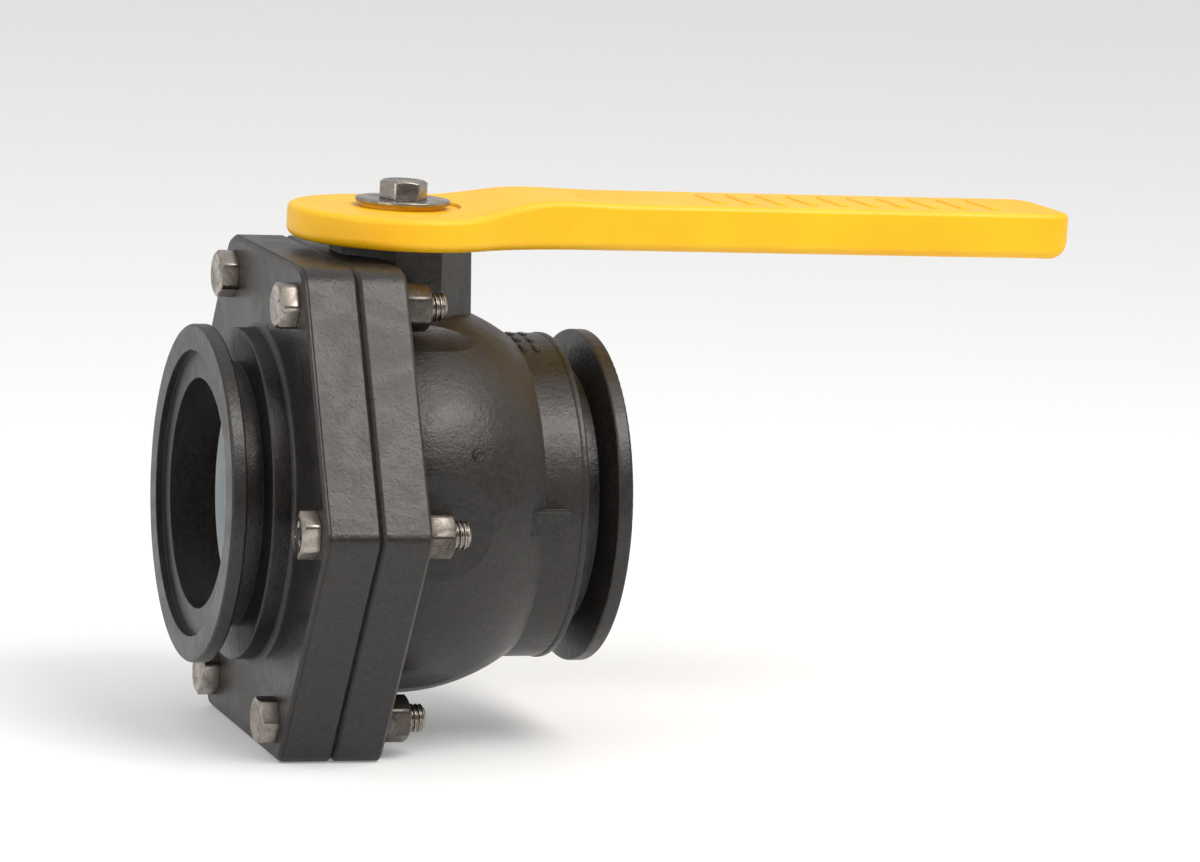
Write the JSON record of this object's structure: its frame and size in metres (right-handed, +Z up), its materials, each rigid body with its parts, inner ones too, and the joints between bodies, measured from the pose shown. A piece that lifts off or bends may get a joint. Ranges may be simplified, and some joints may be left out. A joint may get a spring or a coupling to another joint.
{
  "type": "flanged quarter-turn ball valve",
  "caption": "Quarter-turn ball valve for a bulk liquid tank: two-piece moulded body with a bolted hexagonal joint, clamp flanges at both ends and a long yellow lever.",
  "frame": {"origin": "centre of the inlet sealing face, which meets the tank, on the pipe axis", "axes": "+X along the pipe from inlet to outlet, +Z up along the stem to the handle"},
  "size_m": [0.3004, 0.1862, 0.1869],
  "materials": {
    "black_plastic": "moulded glass-filled polypropylene, fine grain",
    "ball_plastic": "machined and polished",
    "yellow_plastic": "moulded, fine satin",
    "stainless_steel": "cold formed, satin",
    "dark_steel": "dark oxide",
    "white_ptfe": "smooth, slightly waxy",
    "black_rubber": "moulded nitrile rubber"
  },
  "bodies": {
    "valve_body": {"body_housing": "black_plastic", "inlet_adapter": "black_plastic", "flange_bolts": "stainless_steel", "flange_nuts": "dark_steel", "joint_oring": "black_rubber", "inlet_seat": "white_ptfe", "outlet_seat": "white_ptfe", "inlet_seat_oring": "black_rubber", "outlet_seat_oring": "black_rubber", "stem_thrust_washer": "white_ptfe"},
    "lever": {"stem": "stainless_steel", "stem_oring_lower": "black_rubber", "stem_oring_upper": "black_rubber", "handle": "yellow_plastic", "handle_washer": "stainless_steel", "handle_bolt": "stainless_steel"},
    "ball_body": {"ball": "ball_plastic"}
  },
  "joints": [
    {"name": "handle_turn", "type": "hinge", "parent": "valve_body", "child": "lever", "pos_m": [0.068, 0, 0.086], "axis": [0, 0, 1], "range_deg": [-90, 0]},
    {"name": "ball_turn", "type": "hinge", "parent": "valve_body", "child": "ball_body", "pos_m": [0.068, 0, 0], "axis": [0, 0, 1], "range_deg": [-90, 0]}
  ],
  "couplings": [
    {"joint": "ball_turn", "follows": "handle_turn", "ratio": 1}
  ]
}
